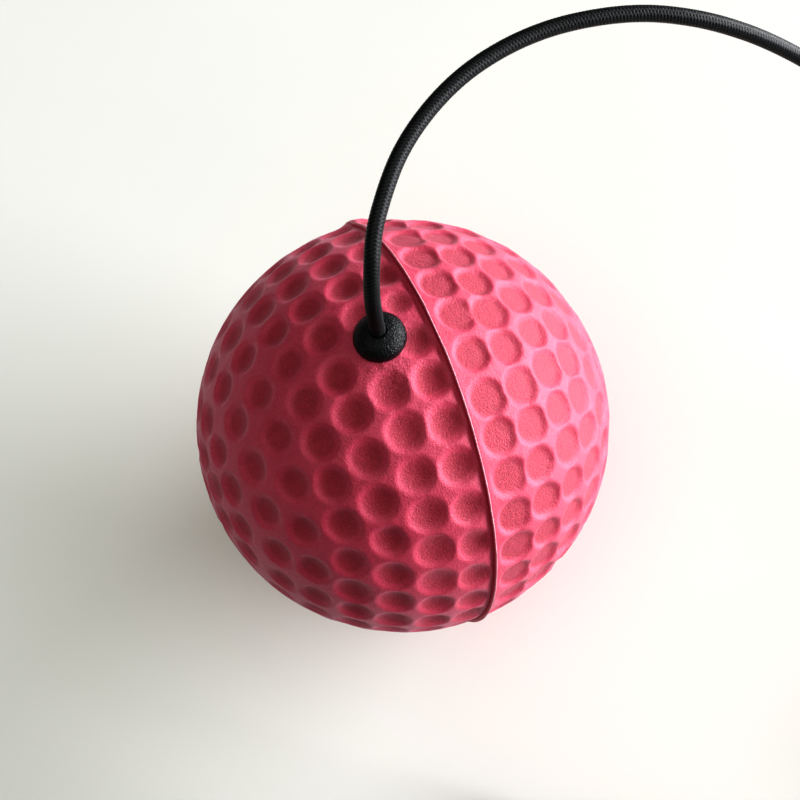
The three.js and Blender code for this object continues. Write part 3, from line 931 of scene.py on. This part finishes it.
def add_strap(name, line, node, body):
    """A woven strap that stands on its edge along a line seen from above."""
    line, at = resample(np.asarray(line), STRAP_STEP)
    across, half = strap_section(STRAP_HIGH - STRAP_LOW, STRAP_THICKNESS, 0.6 * MM)
    out = normals_of(line)
    ribs = 0.5 - 0.5 * np.cos(2 * math.pi * at / RIB)
    ends = smooth_step(np.minimum(at, at[-1] - at) / (0.5 * MM)) * 0.45 + 0.55
    inside = smooth_step((np.abs(half) / (STRAP_THICKNESS / 2) - 0.7) / 0.3)
    dents = RIB_DEPTH * np.sign(half)[None, :] * inside[None, :] * ribs[:, None]
    out_by = half[None, :] * ends[:, None] - dents
    wave = bumps(np.column_stack([line, np.zeros(len(line))]), 25 * MM, 5) * 0.25 * MM
    grid = np.empty((len(line), len(across), 3))
    grid[..., :2] = line[:, None, :] + out[:, None, :] * out_by[:, :, None]
    grid[..., 2] = STRAP_LOW + across[None, :] + wave[:, None] * np.where(across < 20 * MM, 1, -0.6)
    piece = grid_mesh(name, grid, uv=(at, np.concatenate([across, [0]])))
    finish_piece(piece, WEBBING, body, "webbing", node)
    return piece


RING_HALF = 4.5 * MM  # from the ring's middle to the inside of its bars
TAB = 13 * MM  # the sewn end behind the ring
STUB = 6 * MM


def layer(start, end, offset):
    """A stretch of webbing between two distances along the headband's line."""
    count = max(2, int(abs(end - start) / (0.8 * MM)))
    return on_loop(np.linspace(start, end, count), np.full(count, offset))


def add_straps():
    end_at = LOOP_LENGTH - RING_HALF
    main = np.concatenate([
        layer(RING_HALF + TAB, RING_HALF, -LAYER),
        half_turn((ring_x - RING_HALF, band_back), LAYER, 1, -1),
        layer(RING_HALF, end_at, LAYER),
        half_turn((ring_x + RING_HALF, band_back), LAYER, -1, 1),
        layer(end_at, end_at - STUB, -LAYER),
    ])
    add_strap("strap_main", main, "webbing_main", "headband")
    tail_low, tail_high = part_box("webbing_tail")
    tail_y = band_back - LAYER
    tail_line = [(tail_low[0], tail_y), (tail_high[0], tail_y)]
    tail = add_strap("strap_tail", tail_line, "webbing_tail", "headband")
    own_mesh(tail)
    x = middle("slider")[0]
    bar_y = band_back - 2 * LAYER
    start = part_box("tail_loop")[0][0]
    sewn_y = band_back - LAYER - STRAP_THICKNESS - GAP
    back = smooth_line([
        (x + 1.5 * MM, bar_y - LAYER, 0),
        (x - 1 * MM, bar_y - LAYER, 0),
        (x - 4 * MM, bar_y - LAYER + 0.5 * MM, 0),
        (x - 8 * MM, sewn_y - 0.3 * MM, 0),
        (x - 10 * MM, sewn_y, 0),
        (start, sewn_y, 0),
    ], 0.5 * MM)[:, :2]
    end = np.concatenate([
        [(start, tail_y), (x, tail_y)],
        half_turn((x + 1.5 * MM, bar_y), LAYER, 1, 1),
        back,
    ])
    add_strap("strap_end", end, "tail_loop", "adjuster")


# ---- stitching -----------------------------------------------------------------------------------

STITCH = 2.4 * MM
STITCH_GAP = 0.7 * MM
THREAD_R = 0.17 * MM
THREAD_SIDES = 6
THREAD_STEPS = 6
STITCH_RISE = 0.2 * MM  # how far a stitch's middle rises over its ends, besides the thread's own radius
STITCH_SUNK = 0.12 * MM  # how far the whole stitch is pulled down
THREAD_AT = STRAP_THICKNESS / 2 - 0.05 * MM  # from the webbing's middle to where a stitch starts


def stitch_tubes(lines, lift_line):
    """Points and faces of one small arch of thread for each stitch. Each line is a list of (u, v) corners
    on a surface, and lift_line(u, v, height) gives places that height over it."""
    points, faces = [], []
    angle = np.linspace(0, 2 * math.pi, THREAD_SIDES, endpoint=False)[None, :]
    share = np.linspace(0, 1, THREAD_STEPS + 1)
    arch = np.sin(math.pi * share) ** 0.6 * (STITCH_RISE + THREAD_R) - STITCH_SUNK
    thin = (THREAD_R * (0.55 + 0.45 * np.sin(math.pi * share)))[:, None]
    for corners in lines:
        corners = np.array(corners, float)
        for a, b in zip(corners[:-1], corners[1:]):
            length = np.linalg.norm(b - a)
            count = max(1, int(round(length / (STITCH + STITCH_GAP))))
            for k in range(count):
                t = (k + 0.5 + (share - 0.5) * STITCH / (STITCH + STITCH_GAP)) / count
                uv = a + (b - a) * t[:, None]
                line = lift_line(uv[:, 0], uv[:, 1], arch)
                sides, others = carried_frames(line)
                base = len(points)
                points.extend(tube_grid(line, sides, others, thin, angle).reshape(-1, 3))
                for i in range(THREAD_STEPS):
                    row = base + THREAD_SIDES * i
                    for j in range(THREAD_SIDES):
                        beside = (j + 1) % THREAD_SIDES
                        below = row + THREAD_SIDES
                        faces.append([row + j, row + beside, below + beside, below + j])
                faces.append([base + j for j in range(THREAD_SIDES - 1, -1, -1)])
                faces.append([base + THREAD_STEPS * THREAD_SIDES + j for j in range(THREAD_SIDES)])
    return points, faces


def add_stitching(name, lines, lift_line, body, slot):
    points, faces = stitch_tubes(lines, lift_line)
    piece = new_mesh(name, points, faces)
    finish_piece(piece, THREAD, body, slot)


def boxed_cross(u0, u1, v0, v1):
    """A sewn box with a cross in it."""
    box = [(u0, v0), (u1, v0), (u1, v1), (u0, v1), (u0, v0)]
    return [box, [(u0, v0), (u1, v1)], [(u0, v1), (u1, v0)]]


def strap_face(offset, outwards):
    """Places on one face of the webbing, for a distance along it and a height."""
    def place(u, v, height):
        spots = on_loop(u, offset + outwards * (THREAD_AT + height))
        return np.column_stack([spots, v])
    return place


def end_face(y, outwards):
    """Places on one face of the straight, sewn end."""
    def place(u, v, height):
        return np.column_stack([u, y + outwards * (THREAD_AT + height), v])
    return place


def add_strap_stitching():
    low, high = STRAP_LOW + 3 * MM, STRAP_HIGH - 3 * MM
    tab = boxed_cross(RING_HALF + 4 * MM, RING_HALF + TAB - 1.5 * MM, low, high)
    add_stitching("ring_stitching_outside", tab, strap_face(LAYER, 1), "headband", "webbing")
    add_stitching("ring_stitching_inside", tab, strap_face(-LAYER, -1), "headband", "webbing")
    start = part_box("tail_loop")[0][0]
    rows = [[(start + d, low), (start + d, high)] for d in (1.5 * MM, 3.6 * MM)]
    outside = end_face(band_back - LAYER, 1)
    inside = end_face(band_back - LAYER - STRAP_THICKNESS - GAP, -1)
    add_stitching("end_stitching_outside", rows, outside, "adjuster", "webbing")
    add_stitching("end_stitching_inside", rows, inside, "adjuster", "webbing")


add_straps()
add_strap_stitching()


# ---- ring and slider -----------------------------------------------------------------------------


def add_moulded(name, node, body, edge):
    """A moulded frame with the node's shape and rounded edges."""
    data = bpy.data.objects[node].data.copy()
    data.name = name
    mesh = bmesh.new()
    mesh.from_mesh(data)
    bmesh.ops.remove_doubles(mesh, verts=mesh.verts, dist=0.001 * MM)
    bmesh.ops.dissolve_limit(mesh, angle_limit=math.radians(1), verts=mesh.verts, edges=mesh.edges)
    sharp = [e for e in mesh.edges if e.calc_face_angle(0) > math.radians(20)]
    bmesh.ops.bevel(
        mesh, geom=sharp, offset=edge, segments=4, profile=0.5, affect="EDGES", clamp_overlap=True,
    )
    mesh.to_mesh(data)
    mesh.free()
    data.shade_smooth()
    piece = bpy.data.objects.new(name, data)
    bpy.context.scene.collection.objects.link(piece)
    flat = piece.modifiers.new("flat faces", "WEIGHTED_NORMAL")
    flat.keep_sharp = True
    finish_piece(piece, PLASTIC, body, "buckle_plastic", node)


add_moulded("ring_frame", "strap_ring", "headband", 0.55 * MM)
add_moulded("slider_frame", "slider", "adjuster", 0.5 * MM)


# ---- the patch and its pocket --------------------------------------------------------------------

PATCH_HALF = 32 * MM
PATCH_THICKNESS = 1.4 * MM
POCKET_BULGE = 5.8 * MM
WEBBING_FACE = LAYER + STRAP_THICKNESS / 2
CREASE = 0.16 * MM
PUFF = 0.25 * MM  # how far the cloth swells just inside its edge
patch_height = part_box("front_patch")[1][2]


def pocket_bulge(along, height):
    """How far the pocket stands off the webbing: most in the middle, and not at all at the patch's edges."""
    across = smooth_step((np.abs(along) - 4.5 * MM) / (9.5 * MM))
    upright = smooth_step((np.abs(height - patch_height / 2) - 6 * MM) / (12.5 * MM))
    return POCKET_BULGE * (1 - across) * (1 - upright)


def patch_place(along, height, out):
    """Places on the patch. out is from its inside face."""
    spots = on_loop(FRONT_AT + along, WEBBING_FACE + GAP + pocket_bulge(along, height) + out)
    return np.column_stack([np.reshape(spots, (-1, 2)), np.ravel(height)])


def add_patch():
    """A sheet of leather cloth with round corners, made as nested outlines from its edge to its middle."""
    rows, columns = 60, 240
    turn = np.linspace(0, 2 * math.pi, columns, endpoint=False)
    power = 7
    reach = (np.abs(np.cos(turn)) ** power + np.abs(np.sin(turn)) ** power) ** (-1 / power)
    unit = np.stack([np.cos(turn) * reach, np.sin(turn) * reach], axis=1)
    half = np.array([PATCH_HALF, patch_height / 2])
    edge = 0.75 * MM
    rolled = np.sin(np.linspace(0, math.pi / 2, 6)) ** 2 * edge
    inset = np.concatenate([rolled, np.linspace(edge * 2, half[1] * 0.97, rows)])
    flat = [(half - d) * unit for d in inset]
    lift = [PATCH_THICKNESS / 2 * math.sqrt(max(0, 1 - (1 - min(d / edge, 1)) ** 2)) for d in inset]
    rings = []
    for side in (-1, 1):
        order = range(len(inset)) if side > 0 else range(len(inset) - 1, 0, -1)
        for k in order:
            along, height = flat[k][:, 0], flat[k][:, 1] + patch_height / 2
            crease = bumps(np.column_stack([along, height, np.zeros(columns)]), 7 * MM, 41) * CREASE
            puffed = PUFF * math.sin(min(inset[k] / (5 * MM), 1) * math.pi) if side > 0 else 0
            out = PATCH_THICKNESS / 2 + side * lift[k] + (crease + puffed) * min(inset[k] / (2 * MM), 1)
            rings.append(patch_place(along, height, np.maximum(out, 0)))
    piece = grid_mesh("patch", np.array(rings))
    finish_piece(piece, LEATHER, "headband", "patch_leather", "front_patch")


def patch_face(u, v, height):
    return patch_place(u, v, PATCH_THICKNESS + 0.02 * MM + height)


def add_patch_stitching():
    """Two rows round the edge, and a row on each side that closes the pocket."""
    middle_z = patch_height / 2
    lines = []
    for inset in (2.2 * MM, 4.6 * MM):
        u, v = PATCH_HALF - inset, middle_z - inset
        corner = 3.5 * MM
        path = []
        for quarter_turn, (su, sv) in enumerate(((1, 1), (-1, 1), (-1, -1), (1, -1))):
            centre = (su * (u - corner), middle_z + sv * (v - corner))
            start = 90 * quarter_turn
            path += arc_points(centre, (corner, corner), start, start + 90, 4)
        lines.append(path + path[:1])
    for side in (-1, 1):
        at = side * 15.5 * MM
        lines.append([(at, 5 * MM), (at, patch_height - 5 * MM)])
    add_stitching("patch_stitching", lines, patch_face, "headband", "patch_leather")


add_patch()
add_patch_stitching()


# ---- grip strips ---------------------------------------------------------------------------------


def add_grip(name, node):
    """A strip of silicone printed on the inside of the webbing, with three wavy ridges."""
    low, high = (corner[2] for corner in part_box(node))
    width = high - low
    base, ridge = 0.3 * MM, 0.45 * MM
    half = 88 * MM
    at = np.linspace(FRONT_AT - half, FRONT_AT + half, 700)
    face = LAYER - STRAP_THICKNESS / 2 - 0.05 * MM
    across = np.linspace(0, 1, 40)
    wave = 0.1 * np.sin(2 * math.pi * (at - at[0]) / (7 * MM))
    ends = smooth_step(np.minimum(at - at[0], at[-1] - at) / (1.2 * MM))
    waved = np.clip(across[None, :] - wave[:, None] * np.sin(math.pi * across), 0, 1)
    ridges = np.abs(np.sin(math.pi * 3 * waved))
    rounded = np.sqrt(np.clip(np.minimum(across, 1 - across) / 0.06, 0, 1))
    top = (base * rounded[None, :] + ridge * ridges**1.5) * ends[:, None]
    grid = np.empty((len(at), 2 * len(across), 3))
    for k, share in enumerate(across):
        grid[:, k, :2] = on_loop(at, face - top[:, k])
        grid[:, k, 2] = low + width * share
    for k, share in enumerate(across[::-1]):
        grid[:, len(across) + k, :2] = on_loop(at, np.full(len(at), face + 0.02 * MM))
        grid[:, len(across) + k, 2] = low + width * share
    piece = grid_mesh(name, grid)
    finish_piece(piece, SILICONE, "headband", "grip_silicone", node)


add_grip("grip_lower", "grip_strip_lower")
add_grip("grip_upper", "grip_strip_upper")


# ---- the coil's tie ------------------------------------------------------------------------------


def add_tie():
    """A soft strap wound once and a quarter round the coil's turns, with its end pressed down on it."""
    low, high = box_of("coil_tie")
    thickness = 0.32 * MM
    half_y, half_z = (high[1] - low[1]) / 2 - thickness, (high[2] - low[2]) / 2 - thickness
    centre = (low + high) / 2
    turns = np.linspace(0, 1.22, 160)
    angle = 2 * math.pi * turns + math.pi * 0.75
    power = 3.4
    reach = (np.abs(np.cos(angle)) ** power + np.abs(np.sin(angle)) ** power) ** (-1 / power)
    over = smooth_step((turns - 0.9) / 0.12) * thickness
    y = centre[1] + np.cos(angle) * reach * (half_y - thickness / 2) + np.cos(angle) * over
    z = centre[2] + np.sin(angle) * reach * (half_z - thickness / 2) + np.sin(angle) * over
    line = np.stack([y, z], axis=1)
    out = normals_of(line)
    width = high[0] - low[0]
    across, half = strap_section(width, thickness, 0.12 * MM)
    tip = np.clip((turns[-1] - turns) / 0.05, 0, 1) ** 0.5
    grid = np.empty((len(line), len(across), 3))
    grid[..., 0] = centre[0] + (across[None, :] - width / 2) * (0.35 + 0.65 * tip[:, None])
    grid[..., 1:] = line[:, None, :] + out[:, None, :] * half[None, :, None]
    piece = grid_mesh("tie", grid, uv=(distance_along(line), np.concatenate([across, [0]])))
    finish_piece(piece, TIE, "headband", "tie_strap", "coil_tie")
    return piece


add_tie()


# ---- the cord ------------------------------------------------------------------------------------

COIL_CENTRE = middle("cord_coil")
COIL_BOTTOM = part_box("cord_coil")[0][2]
TURN_PITCH = 2.1 * MM
LAYER_PITCH = 2.05 * MM
COIL_POINTS_PER_TURN = 24


def coil_points():
    """Two turns inwards, a climb, and two turns outwards on top of them, seen turning clockwise."""
    points = []
    outer = COIL_MIDDLE_R + TURN_PITCH
    inner = COIL_MIDDLE_R - TURN_PITCH
    climb = COIL_TURNS - 4
    count = int(COIL_TURNS * COIL_POINTS_PER_TURN)
    for k in range(count + 1):
        turn = COIL_TURNS * k / count
        lift = float(smooth_step((turn - 2) / climb))
        if turn < 2:
            radius = outer - TURN_PITCH * turn
        else:
            radius = inner + TURN_PITCH * max(0, turn - 2 - climb)
        angle = math.pi - 2 * math.pi * turn
        points.append((
            COIL_CENTRE[0] + radius * math.cos(angle),
            COIL_CENTRE[1] + radius * math.sin(angle),
            COIL_BOTTOM + CORD_R + 0.05 * MM + LAYER_PITCH * lift,
        ))
    return points


BRAID_SIDES = 24
BRAID_STEP = 0.11 * MM
BRAID_RIB = 4 * BRAID_STEP  # from one crossing of the strands to the next, along the cord
BRAID_STRANDS = 6  # each way round
BRAID_RELIEF = 0.15 * MM


def braided_tube(name, route, radius):
    """A round braid along the route, whose points are BRAID_STEP apart."""
    sides, others = carried_frames(route)
    angle = np.linspace(0, 2 * math.pi, BRAID_SIDES, endpoint=False)[None, :]
    turn = 2 * math.pi * np.arange(len(route))[:, None] * BRAID_STEP / BRAID_RIB
    strands = np.maximum(np.cos(BRAID_STRANDS * angle + turn), np.cos(BRAID_STRANDS * angle - turn))
    out = radius - BRAID_RELIEF * (1 - strands) / 2
    piece = grid_mesh(name, tube_grid(route, sides, others, out, angle))
    # 1 on the tops of the strands, where the cord's look paints a highlight, and 0 in the gaps, where it
    # paints shade.
    set_attribute(piece, "strand", (1 + strands) / 2)
    return piece


CORD_OVERLAP = 0.7 * MM  # how far the cord inside the ball runs on into the one outside


def add_inner_cord():
    """The cord inside the ball, from its knot to the plug's mouth."""
    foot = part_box("cord_in_ball")[0]
    top = mouth + CORD_OVERLAP * UP
    route = smooth_line([(mouth[0], mouth[1], foot[2]), tuple(top)], BRAID_STEP)
    piece = braided_tube("cord_inside_ball", route, CORD_R)
    finish_piece(piece, CORD, "cord_end", "cord_braid", "cord_in_ball")


def add_cord():
    route = smooth_line([tuple(mouth), *ROUTE_TO_COIL, *coil_points(), *ROUTE_TO_BAND], BRAID_STEP)
    cord = braided_tube("cord", route, CORD_R)
    CORD.put_on(cord)
    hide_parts("cord_to_coil", "cord_coil", "cord_to_band")
    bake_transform(cord)


add_inner_cord()
add_cord()


# ---- floor and light -----------------------------------------------------------------------------


def add_floor():
    """A smooth, pale table top."""
    half = 3.0
    corners = [(-half, -half, 0), (half, -half, 0), (half, half, 0), (-half, half, 0)]
    floor = new_mesh("floor", corners, [(0, 1, 2, 3)], smooth=False)
    look = Look("floor", Roughness=0.6)
    tone = look.noise(60 * MM, detail=3)
    look.colour(look.mix(tone, (0.85, 0.865, 0.825), (0.88, 0.895, 0.855)))
    look.put_on(floor)


def level_direction(turn, elevation):
    """A direction turned this far from the picture's right towards its top, and raised, in degrees."""
    right, up, _ = camera_axes()
    flat_right = unit(np.array([right[0], right[1], 0]))
    flat_up = unit(np.array([up[0], up[1], 0]))
    level = math.cos(math.radians(turn)) * flat_right + math.sin(math.radians(turn)) * flat_up
    return math.cos(math.radians(elevation)) * level + math.sin(math.radians(elevation)) * UP


def add_area(name, direction, distance, size, power, colour):
    data = bpy.data.lights.new(name, "AREA")
    data.shape = "RECTANGLE"
    data.size, data.size_y = size
    data.energy = power
    data.color = colour
    light = bpy.data.objects.new(name, data)
    towards = Vector(direction).normalized()
    light.location = Vector(ball) + towards * distance
    light.rotation_euler = towards.to_track_quat("Z", "Y").to_euler()
    light.visible_camera = False
    bpy.context.scene.collection.objects.link(light)


def add_world():
    """A pale room that is seen past the table, and gives only a little light."""
    world = bpy.data.worlds.new("world")
    world.use_nodes = True
    tree = world.node_tree
    seen = tree.nodes.new("ShaderNodeLightPath").outputs["Is Camera Ray"]
    strength = tree.nodes.new("ShaderNodeMapRange")
    tree.links.new(seen, strength.inputs["Value"])
    strength.inputs["To Min"].default_value = 0.03
    strength.inputs["To Max"].default_value = 0.5
    background = tree.nodes["Background"]
    background.inputs["Color"].default_value = (1, 1, 0.96, 1)
    tree.links.new(strength.outputs["Result"], background.inputs["Strength"])
    bpy.context.scene.world = world


def add_lights():
    """A low window beside the table and soft light from the ceiling."""
    cool, warm = (1.0, 1.0, 1.04), (1.0, 1.0, 0.92)
    low, high = level_direction(12, 13), level_direction(250, 66)
    add_area("window", low, distance=3.0, size=(4.0, 1.25), power=226, colour=cool)
    add_area("ceiling", high, distance=3.0, size=(2.5, 2.5), power=12, colour=warm)
    add_area("overhead", UP, distance=4.0, size=(5.0, 5.0), power=47, colour=warm)
    add_world()
    view = bpy.context.scene.view_settings
    view.view_transform = "Standard"
    view.look = "High Contrast"
    view.exposure = 0.02


add_floor()
add_lights()
